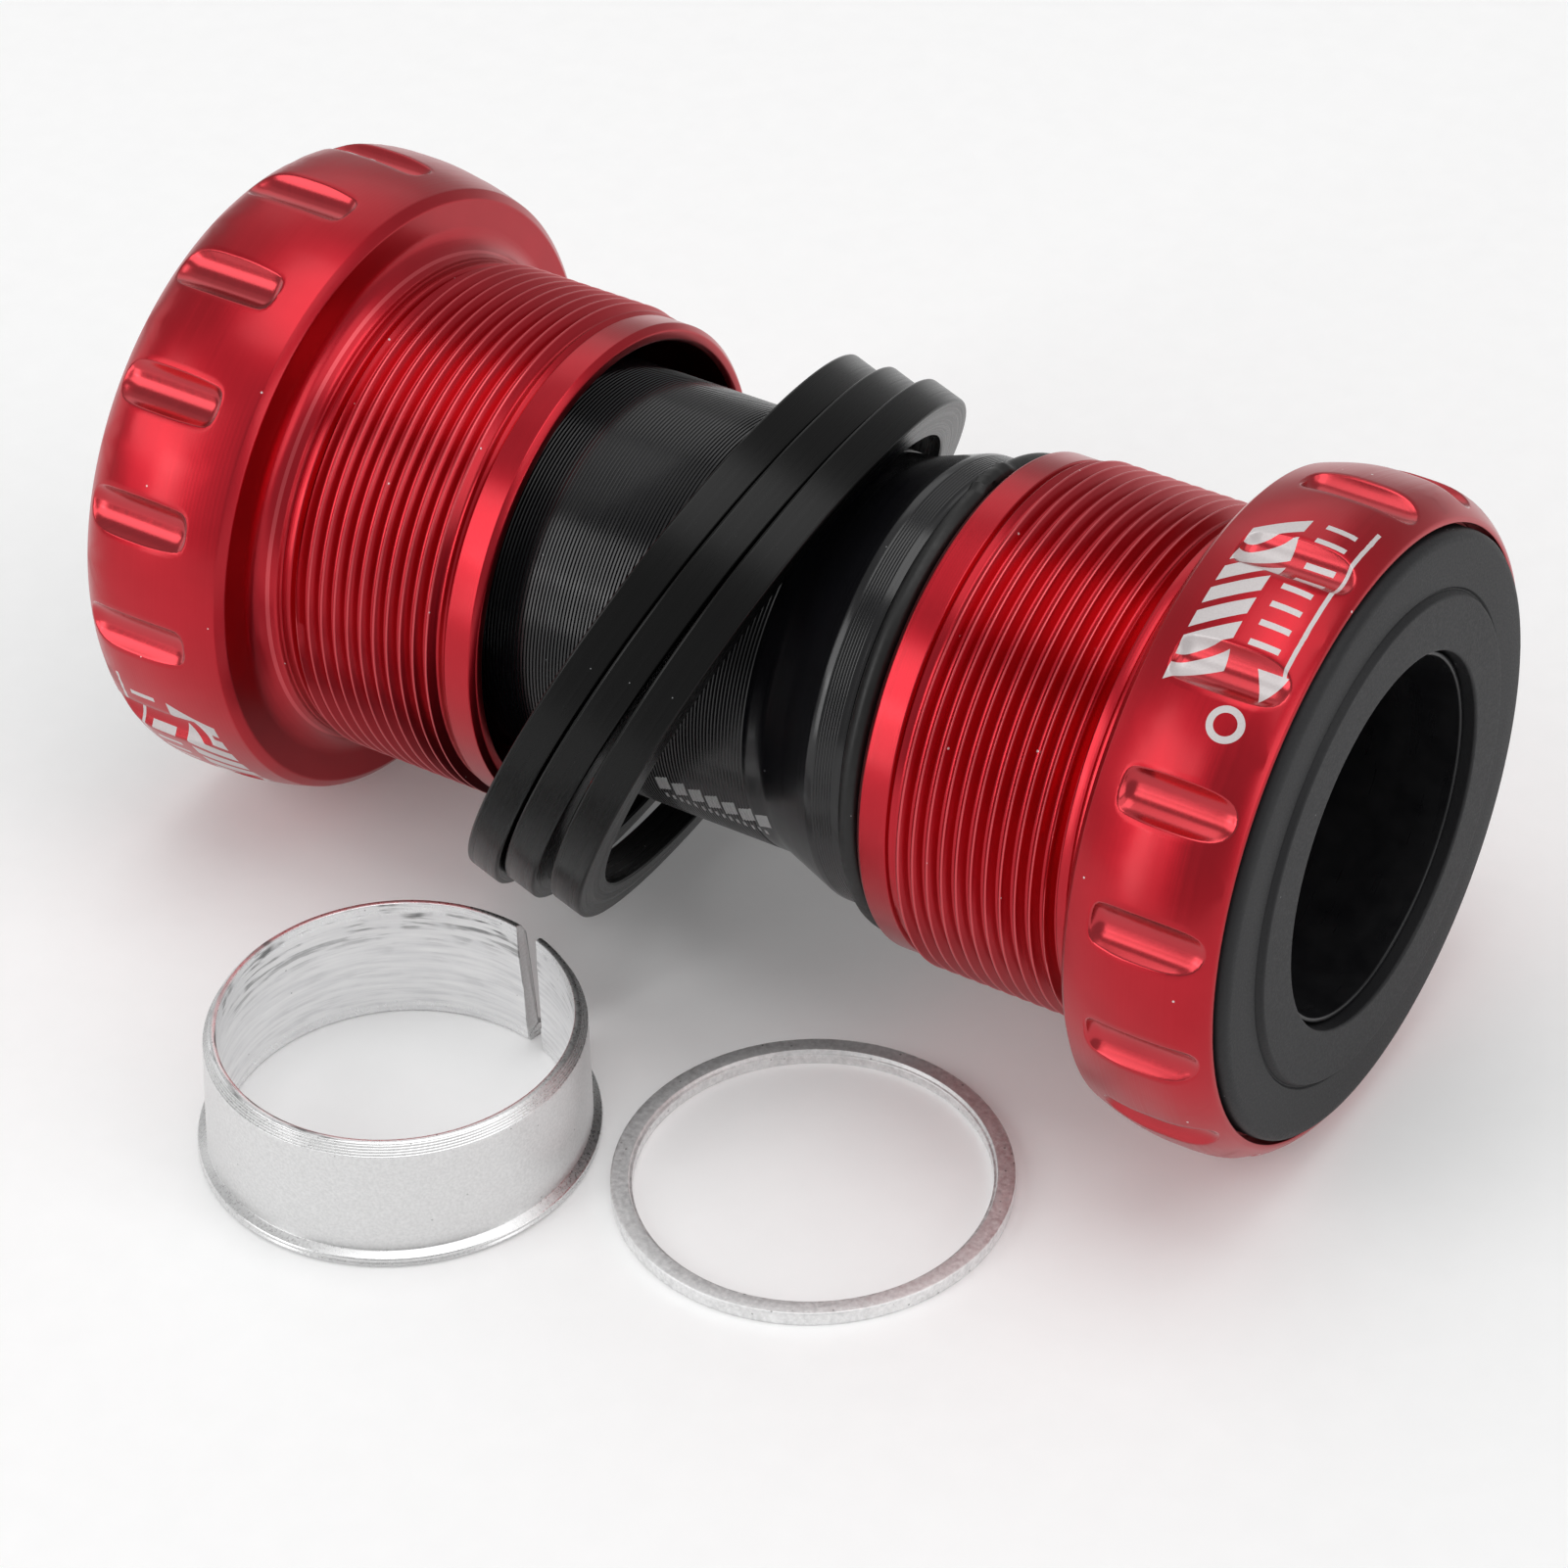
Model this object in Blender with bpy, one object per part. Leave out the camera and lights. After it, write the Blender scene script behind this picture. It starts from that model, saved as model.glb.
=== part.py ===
"""External-cup bottom bracket kit: two threaded bearing cups, centre sleeve, spacers and shims.

Frame: metres, +Z up. The spindle axis runs along X through (AXIS_Y, AXIS_Z), the drive-side cup is
at +X, and the kit lies on the plane z = 0 with the loose adapter sleeve and washer in front at -Y.
The origin is the middle of the whole kit's base.
Lengths below are in millimetres and are scaled by MM when the meshes are built.
A cup is described by its depth u, measured outward from its inner thread end, and a radius. Other
places along the spindle are measured from MIDDLE_X, halfway between the two thread ends.
"""
import math

import bmesh
import bpy
from mathutils import Matrix, Vector

MM = 0.001

# Cup shell
CUP_SEGMENTS = 40
HEAD_R = 22.4
HEAD_EDGE_R = (21.3, 20.9)
HEAD_CROWN_U = 22.5
HEAD_CROWN_POWER = (1.8, 4.0)
THREAD_CREST_R = 17.4
THREAD_ROOT_R = 16.75
THREAD_PITCH = 25.4 / 24
THREAD_TURNS = 11
THREAD_START_U = 2.75
LEAD_IN_R = 17.0
BORE_R = 15.75
SEAT_R = 18.75
SEAT_U = (18.35, 26.0)
SHOULDER_U = 17.25
RIM_U = 27.6
COVER_RECESS_R = 20.55
NOTCH_COUNT = 16
NOTCH_FLOOR_R = 21.35
NOTCH_MOUTH_R = 22.9

# Each cup's side of the kit, extra head length, notch centre depth and turn of the notches about +X
CUPS = {"left": (-1, 1.1, 23.7, 0.9), "right": (1, 0.0, 23.1, -13.6)}

# Layout along the spindle axis
MIDDLE_X = 0.55
AXIS_Y = 12.407
AXIS_Z = HEAD_R * math.cos(math.pi / CUP_SEGMENTS)
CUP_END_X = 14.55

# Bearing: 25 x 37 x 7 mm cartridge
RACE_SEGMENTS = 32
BEARING_U = 22.1
BEARING_HALF_WIDTH = 3.5
OUTER_RACE_R = 18.5
INNER_RACE_R = 12.6
BALL_R = 1.75
BALL_CIRCLE_R = 15.5
BALL_COUNT = 14

# Spindle side
BUSHING_R = (12.0, 12.3)
COVER_R = 20.25
COVER_FACE_U = 28.35
COVER_BOSS_U = 28.75

# Centre sleeve
SLEEVE_R = 13.8
SLEEVE_BORE_R = 12.8
SLEEVE_COLLAR_R = 15.4
SLEEVE_SPIGOT_R = 14.6
SLEEVE_ENDS_X = (-26.5, 21.8)

# Spacers hanging on the sleeve
SPACER_R = (18.4, 21.3)
SPACER_THICKNESS = 2.5
SPACER_DROP = 2.45
SPACER_FORWARD = 0.8
SPACER_YAW_DEG = 1.5
SPACERS = {"spacer_1": (-8.0, 25.0), "spacer_2": (-5.05, 25.0), "spacer_3": (-1.59, 23.8)}

# Loose pieces on the floor
ADAPTER_CENTRE = (MIDDLE_X - 10.2, AXIS_Y - 34.0)
ADAPTER_SLIT_DEG = 74.0
ADAPTER_SLIT_HALF_DEG = 4.0
WASHER_CENTRE = (MIDDLE_X + 15.85, AXIS_Y - 24.75)


def clear_scene():
    for thing in list(bpy.data.objects):
        bpy.data.objects.remove(thing, do_unlink=True)


def make_material(name, colour, metallic, roughness):
    material = bpy.data.materials.new(name)
    material.use_nodes = True
    shader = material.node_tree.nodes["Principled BSDF"]
    shader.inputs["Base Color"].default_value = (*colour, 1.0)
    shader.inputs["Metallic"].default_value = metallic
    shader.inputs["Roughness"].default_value = roughness
    return material


def make_object(name, vertices, faces, material, location=(0, 0, 0), rotation=(0, 0, 0)):
    """Mesh object from millimetre vertices, with outward normals and smooth round faces."""
    mesh = bpy.data.meshes.new(name)
    mesh.from_pydata([Vector(v) * MM for v in vertices], [], faces)
    tidy = bmesh.new()
    tidy.from_mesh(mesh)
    bmesh.ops.recalc_face_normals(tidy, faces=tidy.faces)
    tidy.to_mesh(mesh)
    tidy.free()
    mesh.shade_smooth()
    mesh.set_sharp_from_angle(angle=math.radians(30))
    mesh.materials.append(material)
    thing = bpy.data.objects.new(name, mesh)
    thing.location = Vector(location) * MM
    thing.rotation_euler = rotation
    bpy.context.scene.collection.objects.link(thing)
    return thing


def revolve(profile, segments, axis="X", start_deg=None, sweep_deg=360.0):
    """Closed (height, radius) outline turned about X or Z; a part sweep gets two end faces."""
    full = sweep_deg >= 360.0
    start = math.pi / segments if start_deg is None else math.radians(start_deg)
    steps = segments if full else segments + 1
    count = len(profile)
    vertices = []
    for i in range(steps):
        angle = start + math.radians(sweep_deg) * i / segments
        for height, radius in profile:
            across = (radius * math.cos(angle), radius * math.sin(angle))
            if axis == "X":
                vertices.append((height, across[0], across[1]))
            else:
                vertices.append((across[0], across[1], height))
    faces = []
    for i in range(segments):
        here = i * count
        there = ((i + 1) % steps) * count
        for j in range(count):
            k = (j + 1) % count
            faces.append((here + j, here + k, there + k, there + j))
    if not full:
        faces.append(tuple(range(count)))
        faces.append(tuple(range(segments * count, steps * count)))
    return vertices, faces


def cup_x(side, u):
    return MIDDLE_X + side * (CUP_END_X + u)


def arc(centre, radius, start_deg, end_deg, steps):
    """Points (height, radius) on a circular arc in the profile plane."""
    points = []
    for i in range(steps + 1):
        angle = math.radians(start_deg + (end_deg - start_deg) * i / steps)
        points.append((centre[0] + radius * math.cos(angle), centre[1] + radius * math.sin(angle)))
    return points


def head_radius(u, extra):
    """Crowned outside of the cup head, falling gently to the shoulder and quickly to the rim."""
    crown_u = HEAD_CROWN_U + extra
    outward = u > crown_u
    reach = RIM_U + extra - crown_u if outward else SHOULDER_U - crown_u
    drop = HEAD_R - HEAD_EDGE_R[outward]
    return HEAD_R - drop * ((u - crown_u) / reach) ** HEAD_CROWN_POWER[outward]


def cup_profile(extra):
    points = [(0.3, BORE_R), (0.0, BORE_R + 0.25), (0.0, 16.55), (0.45, LEAD_IN_R), (2.3, LEAD_IN_R)]
    for turn in range(THREAD_TURNS):
        u = THREAD_START_U + turn * THREAD_PITCH
        points.append((u, THREAD_ROOT_R))
        points.append((u + 0.5 * THREAD_PITCH, THREAD_CREST_R))
    last = THREAD_START_U + THREAD_TURNS * THREAD_PITCH
    points += [(last, THREAD_ROOT_R), (last + 0.25, 17.1), (SHOULDER_U - 1.3, 17.1)]
    points += [(SHOULDER_U - 0.5, 17.55), (SHOULDER_U, 18.5), (SHOULDER_U, 20.9)]
    rim_u = RIM_U + extra
    recess_u = SEAT_U[1] + extra
    for share in (0.0, 0.2, 0.42, 0.64, 0.8, 0.92, 1.0):
        u = SHOULDER_U + 0.3 + (rim_u - SHOULDER_U - 0.3) * share
        points.append((u, head_radius(u, extra)))
    points += [(rim_u + 0.05, COVER_RECESS_R), (recess_u, COVER_RECESS_R), (recess_u, SEAT_R)]
    points += [(SEAT_U[0], SEAT_R), (SEAT_U[0], BORE_R)]
    return points


def stadium(half_length, half_width, steps=3):
    """Slot outline: two half circles joined by straight sides, as (along, across) pairs."""
    straight = half_length - half_width
    outline = []
    for end in (1, -1):
        for i in range(steps + 1):
            angle = math.pi * i / steps - math.pi / 2
            outline.append((end * (straight + half_width * math.cos(angle)), end * half_width * math.sin(angle)))
    return outline


def notch_cutter(name, side, centre_u, turn_deg):
    """Sixteen flared slots standing round the cup head, with walls at 45 degrees."""
    flare = NOTCH_MOUTH_R - NOTCH_FLOOR_R
    floor = stadium(3.05, 0.62)
    mouth = stadium(3.05 + flare, 0.62 + flare)
    count = len(floor)
    vertices = []
    faces = []
    for n in range(NOTCH_COUNT):
        turn = Matrix.Rotation(math.radians(turn_deg + 360.0 * n / NOTCH_COUNT), 3, "X")
        base = len(vertices)
        for outline, radius in ((floor, NOTCH_FLOOR_R), (mouth, NOTCH_MOUTH_R)):
            for along, across in outline:
                vertices.append(turn @ Vector((cup_x(side, centre_u) + along, -radius, across)))
        for j in range(count):
            k = (j + 1) % count
            faces.append((base + j, base + k, base + count + k, base + count + j))
        faces.append(tuple(range(base, base + count)))
        faces.append(tuple(range(base + count, base + 2 * count)))
    cutter = make_object(name, vertices, faces, bpy.data.materials["red_anodised"], (0, AXIS_Y, AXIS_Z))
    cutter.hide_render = True
    cutter.display_type = "WIRE"
    return cutter


def cut(target, cutter):
    boolean = target.modifiers.new("cut_" + cutter.name, "BOOLEAN")
    boolean.operation = "DIFFERENCE"
    boolean.solver = "EXACT"
    boolean.object = cutter


def from_middle(x):
    return MIDDLE_X + x


def add_turned(name, profile, segments, material, x_of):
    """Ring on the spindle axis; x_of maps a profile's place along the axis to X."""
    vertices, faces = revolve([(x_of(u), radius) for u, radius in profile], segments)
    return make_object(name, vertices, faces, material, (0, AXIS_Y, AXIS_Z))


def race_profile(back_r, land_r, groove_r):
    """Bearing ring with a rolling groove facing the balls."""
    low = BEARING_U - BEARING_HALF_WIDTH
    high = BEARING_U + BEARING_HALF_WIDTH
    groove = [(BEARING_U + 1.5, land_r), (BEARING_U + 0.6, groove_r)]
    groove += [(BEARING_U - 0.6, groove_r), (BEARING_U - 1.5, land_r)]
    return [(low, back_r), (high, back_r), (high, land_r)] + groove + [(low, land_r)]


def ring_profile(u0, u1, r0, r1):
    return [(u0, r0), (u1, r0), (u1, r1), (u0, r1)]


def add_cage(prefix, side, material):
    """Ball cage with a round pocket for each ball."""
    u0 = BEARING_U - 2.5
    profile = ring_profile(u0, u0 + 5.0, 14.75, 16.25)
    cage = add_turned(prefix + "_cage", profile, RACE_SEGMENTS, material, lambda u: cup_x(side, u))
    vertices = []
    faces = []
    facets = 8
    for n in range(BALL_COUNT):
        turn = Matrix.Rotation(2 * math.pi * n / BALL_COUNT, 3, "X")
        base = len(vertices)
        for radius in (13.8, 17.2):
            for i in range(facets):
                angle = 2 * math.pi * (i + 0.5) / facets
                along = cup_x(side, BEARING_U) + 2.0 * math.cos(angle)
                vertices.append(turn @ Vector((along, 2.0 * math.sin(angle), radius)))
        for i in range(facets):
            k = (i + 1) % facets
            faces.append((base + i, base + k, base + facets + k, base + facets + i))
        faces.append(tuple(range(base, base + facets)))
        faces.append(tuple(range(base + facets, base + 2 * facets)))
    cutter = make_object(prefix + "_pocket_cutter", vertices, faces, material, (0, AXIS_Y, AXIS_Z))
    cutter.hide_render = True
    cutter.display_type = "WIRE"
    cut(cage, cutter)


def add_balls(prefix, side, material):
    mesh = bpy.data.meshes.new(prefix + "_ball")
    ball = bmesh.new()
    bmesh.ops.create_uvsphere(ball, u_segments=6, v_segments=4, radius=BALL_R * MM)
    ball.to_mesh(mesh)
    ball.free()
    mesh.shade_smooth()
    mesh.materials.append(material)
    for n in range(BALL_COUNT):
        angle = 2 * math.pi * n / BALL_COUNT
        thing = bpy.data.objects.new(f"{prefix}_ball_{n + 1:02d}", mesh)
        offset = (-BALL_CIRCLE_R * math.sin(angle), BALL_CIRCLE_R * math.cos(angle))
        centre = Vector((cup_x(side, BEARING_U), AXIS_Y + offset[0], AXIS_Z + offset[1]))
        thing.location = centre * MM
        thing.rotation_euler = (angle, 0, 0)
        bpy.context.scene.collection.objects.link(thing)


def add_bearing(prefix, side, materials):
    def depth(u):
        return cup_x(side, u)

    steel = materials["bearing_steel"]
    add_turned(prefix + "_outer_race", race_profile(OUTER_RACE_R, 16.7, 17.45), RACE_SEGMENTS, steel, depth)
    add_turned(prefix + "_inner_race", race_profile(INNER_RACE_R, 14.3, 13.55), RACE_SEGMENTS, steel, depth)
    add_cage(prefix, side, materials["cage_nylon"])
    add_balls(prefix, side, materials["ball_steel"])
    for name, offset in (("_inboard_seal", -3.25), ("_outboard_seal", 2.9)):
        u0 = BEARING_U + offset
        seal = ring_profile(u0, u0 + 0.35, 14.6, 16.4)
        add_turned(prefix + name, seal, RACE_SEGMENTS, materials["seal_rubber"], depth)


def add_spindle_side(prefix, side, extra, materials):
    """Dust cover and bushing, which turn with the crank spindle."""
    def depth(u):
        return cup_x(side, u + extra)

    cover = [(26.3, COVER_R), (27.85, COVER_R), (28.2, 20.1), (COVER_FACE_U, 19.75)]
    cover += [(COVER_FACE_U, 16.4), (COVER_BOSS_U, 16.2), (COVER_BOSS_U, 12.75), (28.6, 12.6)]
    cover += [(25.9, 12.6), (25.9, 14.1), (26.3, 14.1)]
    add_turned(prefix + "_dust_cover", cover, CUP_SEGMENTS, materials["cover_rubber"], depth)
    inner, outer = BUSHING_R
    low = 17.7 - extra
    bushing = [(low, inner), (28.5, inner), (28.5, outer), (low + 0.6, outer), (low + 0.6, 13.6), (low, 13.6)]
    add_turned(prefix + "_bushing", bushing, RACE_SEGMENTS, materials["bushing_plastic"], depth)


def add_cup(prefix, side, extra, notch_u, turn_deg, materials):
    cup = add_turned(prefix + "_cup", cup_profile(extra), CUP_SEGMENTS, materials["red_anodised"],
                     lambda u: cup_x(side, u))
    cut(cup, notch_cutter(prefix + "_notch_cutter", side, notch_u, turn_deg))


def add_sleeve(materials):
    left, right = SLEEVE_ENDS_X
    profile = [(left, SLEEVE_BORE_R), (left, 13.4), (left + 0.4, SLEEVE_R), (-24.9, SLEEVE_R), (-24.9, 13.05)]
    profile += [(-22.3, 13.05), (-22.3, SLEEVE_R), (5.5, SLEEVE_R), (10.0, SLEEVE_COLLAR_R)]
    profile += [(12.5, SLEEVE_COLLAR_R), (12.5, SLEEVE_SPIGOT_R), (right - 0.3, SLEEVE_SPIGOT_R)]
    profile += [(right, 14.3), (right, SLEEVE_BORE_R)]
    add_turned("center_sleeve", profile, CUP_SEGMENTS, materials["black_anodised"], from_middle)
    for name, x, ring_r, cord_r in (("sleeve_oring_left", -23.6, 14.35, 1.0),
                                    ("sleeve_oring_right", 13.52, 15.67, 0.78)):
        cord = arc((x, ring_r), cord_r, 30, 330, 5)
        add_turned(name, cord, RACE_SEGMENTS, materials["oring_rubber"], from_middle)


def add_spacers(materials):
    """Three flat rings hanging askew on the sleeve, each with its own small lean."""
    half = SPACER_THICKNESS / 2
    inner, outer = SPACER_R
    profile = [(-half, inner), (half, inner), (half, outer - 0.15), (half - 0.15, outer)]
    profile += [(0.15 - half, outer), (-half, outer - 0.15)]
    for name, (face_x, lean_deg) in SPACERS.items():
        lean = math.radians(lean_deg)
        vertices, faces = revolve(profile, CUP_SEGMENTS)
        centre = (from_middle(face_x) - half * math.cos(lean), AXIS_Y - SPACER_FORWARD,
                  AXIS_Z - SPACER_DROP + half * math.sin(lean))
        rotation = (0, lean, math.radians(SPACER_YAW_DEG))
        make_object(name, vertices, faces, materials["spacer_black"], centre, rotation)


def add_floor_pieces(materials):
    """Split adapter sleeve and thin washer, both standing on the floor."""
    wall = [(0.0, 11.75), (0.0, 12.9), (0.25, 13.15), (0.7, 13.15), (0.95, 12.6), (8.7, 12.6)]
    wall += [(9.3, 12.25), (9.5, 12.15), (9.5, 11.6), (0.2, 11.6)]
    vertices, faces = revolve(wall, CUP_SEGMENTS, "Z", ADAPTER_SLIT_DEG + ADAPTER_SLIT_HALF_DEG,
                              360.0 - 2 * ADAPTER_SLIT_HALF_DEG)
    make_object("adapter_sleeve", vertices, faces, materials["raw_aluminium"], (*ADAPTER_CENTRE, 0))
    washer = [(0.0, 11.65), (0.0, 13.05), (1.0, 13.05), (1.0, 11.9), (0.8, 11.65)]
    vertices, faces = revolve(washer, CUP_SEGMENTS, "Z")
    make_object("shim_washer", vertices, faces, materials["raw_aluminium"], (*WASHER_CENTRE, 0))


def make_materials():
    table = {
        "red_anodised": ((0.52, 0.012, 0.02), 0.9, 0.32),
        "black_anodised": ((0.02, 0.02, 0.022), 0.6, 0.35),
        "spacer_black": ((0.03, 0.03, 0.032), 0.4, 0.45),
        "raw_aluminium": ((0.82, 0.83, 0.84), 1.0, 0.3),
        "cover_rubber": ((0.045, 0.045, 0.048), 0.0, 0.7),
        "bushing_plastic": ((0.015, 0.015, 0.016), 0.0, 0.25),
        "oring_rubber": ((0.02, 0.02, 0.02), 0.0, 0.5),
        "seal_rubber": ((0.05, 0.03, 0.03), 0.0, 0.6),
        "bearing_steel": ((0.6, 0.6, 0.62), 1.0, 0.2),
        "ball_steel": ((0.75, 0.75, 0.78), 1.0, 0.08),
        "cage_nylon": ((0.5, 0.48, 0.42), 0.0, 0.5),
    }
    return {name: make_material(name, *values) for name, values in table.items()}


def build():
    clear_scene()
    materials = make_materials()
    for prefix, (side, extra, notch_u, turn_deg) in CUPS.items():
        add_cup(prefix, side, extra, notch_u, turn_deg, materials)
        add_bearing(prefix, side, materials)
        add_spindle_side(prefix, side, extra, materials)
    add_sleeve(materials)
    add_spacers(materials)
    add_floor_pieces(materials)


build()
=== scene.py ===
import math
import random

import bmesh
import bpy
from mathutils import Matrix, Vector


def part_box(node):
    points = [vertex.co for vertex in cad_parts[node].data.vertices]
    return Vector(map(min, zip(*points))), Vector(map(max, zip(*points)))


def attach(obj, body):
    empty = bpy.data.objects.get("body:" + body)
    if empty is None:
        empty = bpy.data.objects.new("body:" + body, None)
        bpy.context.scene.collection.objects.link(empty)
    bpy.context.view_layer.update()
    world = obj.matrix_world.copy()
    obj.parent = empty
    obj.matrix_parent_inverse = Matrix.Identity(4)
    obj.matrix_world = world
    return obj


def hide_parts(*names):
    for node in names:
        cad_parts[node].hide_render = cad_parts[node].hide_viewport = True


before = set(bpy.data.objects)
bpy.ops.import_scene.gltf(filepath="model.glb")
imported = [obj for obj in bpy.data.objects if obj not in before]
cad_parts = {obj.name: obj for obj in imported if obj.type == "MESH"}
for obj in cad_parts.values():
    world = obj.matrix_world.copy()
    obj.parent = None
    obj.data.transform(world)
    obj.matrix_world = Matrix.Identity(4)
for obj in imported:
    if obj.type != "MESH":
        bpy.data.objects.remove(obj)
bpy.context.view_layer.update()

# Looks of the bottom bracket kit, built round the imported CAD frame.
#
# Lengths are in millimetres and are scaled by MM when a mesh is made. Every turned piece is an
# outline of (along, radius, rounding) corners turned about its own axis. A cup's outline is
# measured outward from its thread end, as the CAD does, and angles round the spindle start at the
# front (-Y) and grow upward.

MM = 0.001
MERGE_MM = 0.0008
SHARP_DEG = 38


# Places read from the frame

def box_mm(node):
    low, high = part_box(node)
    return low / MM, high / MM


def middle_mm(node):
    low, high = box_mm(node)
    return (low + high) / 2


SLEEVE_LOW, SLEEVE_HIGH = box_mm("center_sleeve")
AXIS = middle_mm("center_sleeve")
CUP_ENDS = {"left": (-1, box_mm("left_cup")[1].x), "right": (1, box_mm("right_cup")[0].x)}
MIDDLE_X = (CUP_ENDS["left"][1] + CUP_ENDS["right"][1]) / 2

# Cup shell; of a pair of head values the first is for the side toward the shoulder
COLUMNS = 192
HEAD_R = 22.4
HEAD_EDGE_R = (21.3, 20.9)
HEAD_CROWN_U = 22.5
HEAD_CROWN_POWER = (1.8, 4.0)
SHOULDER_U = 17.25
SHOULDER_FOOT_R = 18.5
PLAIN_RIM_U = 27.6
RIM_LIP = 0.05
RECESS_U = 26.0
RECESS_R = 20.55
CUP_BORE_R = 15.75
SEAT_U = 18.35
SEAT_R = 18.75
PLAIN_BAND_R = 17.1
THREAD_PITCH = 25.4 / 24
THREAD_ZONE_U = (2.4, 14.55)
THREAD_ROOT_R = 16.75
THREAD_DEPTH = 0.65
THREAD_CREST = 0.05

# Notches: round scoops, each in its own cell of the head's outside
NOTCHES = 16
NOTCH_U = {"left": 23.7, "right": 23.1}
NOTCH_TURN_DEG = {"left": -0.9, "right": 13.6}
NOTCH_FLOOR_R = 21.35

# Radius of the scoop across, and where each end starts to rise from the centre with its own radius
NOTCH_ARC_R = 1.79
NOTCH_INNER_END = (2.9, 0.75)
NOTCH_OUTER_END = (3.2, 4.0)

# Slot in the middle (half length, half width), search limit from it to the edge, softened edge,
# reach of a cell inward and outward, and the mesh's loops as shares of the way to the edge
NOTCH_CORE = (3.0, 0.6)
NOTCH_REACH = 2.2
NOTCH_EDGE = 0.08
NOTCH_CELL = (4.4, 4.75)
NOTCH_SIDE_STEPS = 10
SCOOP_LOOPS = (0.88, 0.76, 0.64, 0.52, 0.4, 0.28, 0.16, 0.06, 0.0)
DOME_LOOPS = (0.0, 0.3, 0.6, 0.85, 1.0)

# Bearings; a race has radii at its back, at its land beside the balls and in its groove
RING_COLUMNS = 160
BALLS = 14
BALL_R = 1.75
BALL_CIRCLE_R = 15.5
OUTER_RACE_R = (18.5, 16.7, 17.3)
INNER_RACE_R = (12.6, 14.3, 13.72)
RACE_GROOVE_REACH = 1.5
SEAL_THICKNESS = 0.35
CAGE_R = (15.0, 16.0)
CAGE_RIBBON = (0.03, 0.4)
CAGE_GAP = 0.22

# Sleeve
SLEEVE_R = 13.8
SLEEVE_BORE_R = 12.8
GROOVE_PITCH = 0.257
GROOVE_DEPTH = 0.065
COLLAR_GROOVE_PITCH = 0.2

# O-rings: place from the middle, radius of the ring and of its cord, and angle of a torn nib
ORINGS = {"sleeve_oring_left": (-23.6, 14.35, 1.0, None),
          "sleeve_oring_right": (13.52, 15.67, 0.78, 97.0)}

# Spacers: right face from the middle, and lean
SPACERS = {"spacer_1": (-8.0, 25.0), "spacer_2": (-5.05, 25.0), "spacer_3": (-1.59, 23.8)}
SPACER_R = (18.4, 21.3)
SPACER_THICKNESS = 2.5
SPACER_YAW_DEG = 1.5

# Split adapter
ADAPTER_HEIGHT = 9.5
ADAPTER_FLANGE_Z = 1.0
ADAPTER_CHAMFER_Z = 8.55
ADAPTER_MIDWALL_R = 11.8
ADAPTER_SLIT_DEG = 77.5
ADAPTER_LEAN = (0.25, 0.16, 0.0)

# Surface detail: weight of the radius in turning marks, tool pitch on the cups, hole of a ring mark
OUTLINE_SLANT = 1.31
HEAD_TURNING_PITCH = 0.19
RING_HOLE = 0.62

CAMERA_AZIMUTH = 33.383
CAMERA_ELEVATION = 38.424
CAMERA_ROLL = -1.831
CAMERA_LENS = 119.71
CAMERA_DISTANCE = 354.34
CAMERA_AIM = (MIDDLE_X - 1.72, AXIS.y, AXIS.z - 13.475)

# Floor, in metres
FLOOR_REACH = 1.6
FLOOR_Z = -2e-5

# Studio: softboxes at a distance in metres, as (name, direction, width and height in metres, watts)
SOFTBOX_DISTANCE = 0.7
ROOM_LIGHT = 0.46
SOFTBOXES = [
    ("overhead_softbox", (0.0, 0.0, 1.0), (0.45, 0.45), 1.3),
    ("overhead_right_softbox", (0.6, 0.1, 0.79), (0.45, 0.45), 0.7),
    ("front_left_softbox", (-0.5, -0.65, 0.57), (0.35, 0.35), 0.9),
    ("front_left_strip", (-0.43, -0.89, 0.2), (0.14, 0.38), 0.5),
    ("right_softbox", (0.97, 0.0, 0.2), (0.35, 0.35), 0.7),
    ("left_softbox", (-0.97, -0.1, 0.25), (0.35, 0.35), 0.25),
    ("back_overhead_softbox", (-0.43, 0.4, 0.81), (0.45, 0.45), 0.1),
    ("back_softbox", (-0.43, 0.655, 0.62), (0.35, 0.35), 0.2),
]


# Outlines and meshes

def rounded(corners, reach=0.08, steps=3, closed=True):
    """Outline whose corners become curves; a corner may give its own reach as a third number."""
    points = []
    count = len(corners)
    for i, corner in enumerate(corners):
        here = Vector(corner[:2])
        if not closed and i in (0, count - 1):
            points.append(here)
            continue
        back = Vector(corners[i - 1][:2]) - here
        ahead = Vector(corners[(i + 1) % count][:2]) - here
        wanted = corner[2] if len(corner) > 2 else reach
        if wanted == 0:
            points.append(here)
            continue
        cut = min(wanted, 0.45 * back.length, 0.45 * ahead.length)
        start = here + back.normalized() * cut
        end = here + ahead.normalized() * cut
        for step in range(steps + 1):
            t = step / steps
            points.append(start * (1 - t) ** 2 + here * (2 * t * (1 - t)) + end * t ** 2)
    return points


def about_x(along, radius, angle):
    return Vector((along, -radius * math.cos(angle), radius * math.sin(angle)))


def about_z(along, radius, angle):
    return Vector((radius * math.cos(angle), radius * math.sin(angle), along))


def turned(outline, columns, place=about_x, closed=True, start=0.0, sweep=2 * math.pi):
    """Vertices and faces of an outline turned about an axis; a part sweep is capped at both ends."""
    full = sweep > 2 * math.pi - 1e-6
    lines = columns if full else columns + 1
    count = len(outline)
    vertices = []
    for column in range(lines):
        angle = start + sweep * column / columns
        vertices += [place(point[0], point[1], angle) for point in outline]
    faces = []
    for column in range(columns):
        here = column * count
        there = (column + 1) % lines * count
        for i in range(count if closed else count - 1):
            k = (i + 1) % count
            faces.append((here + i, here + k, there + k, there + i))
    if not full:
        faces.append(tuple(range(count)))
        faces.append(tuple(range(columns * count, lines * count)))
    return vertices, faces


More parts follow.
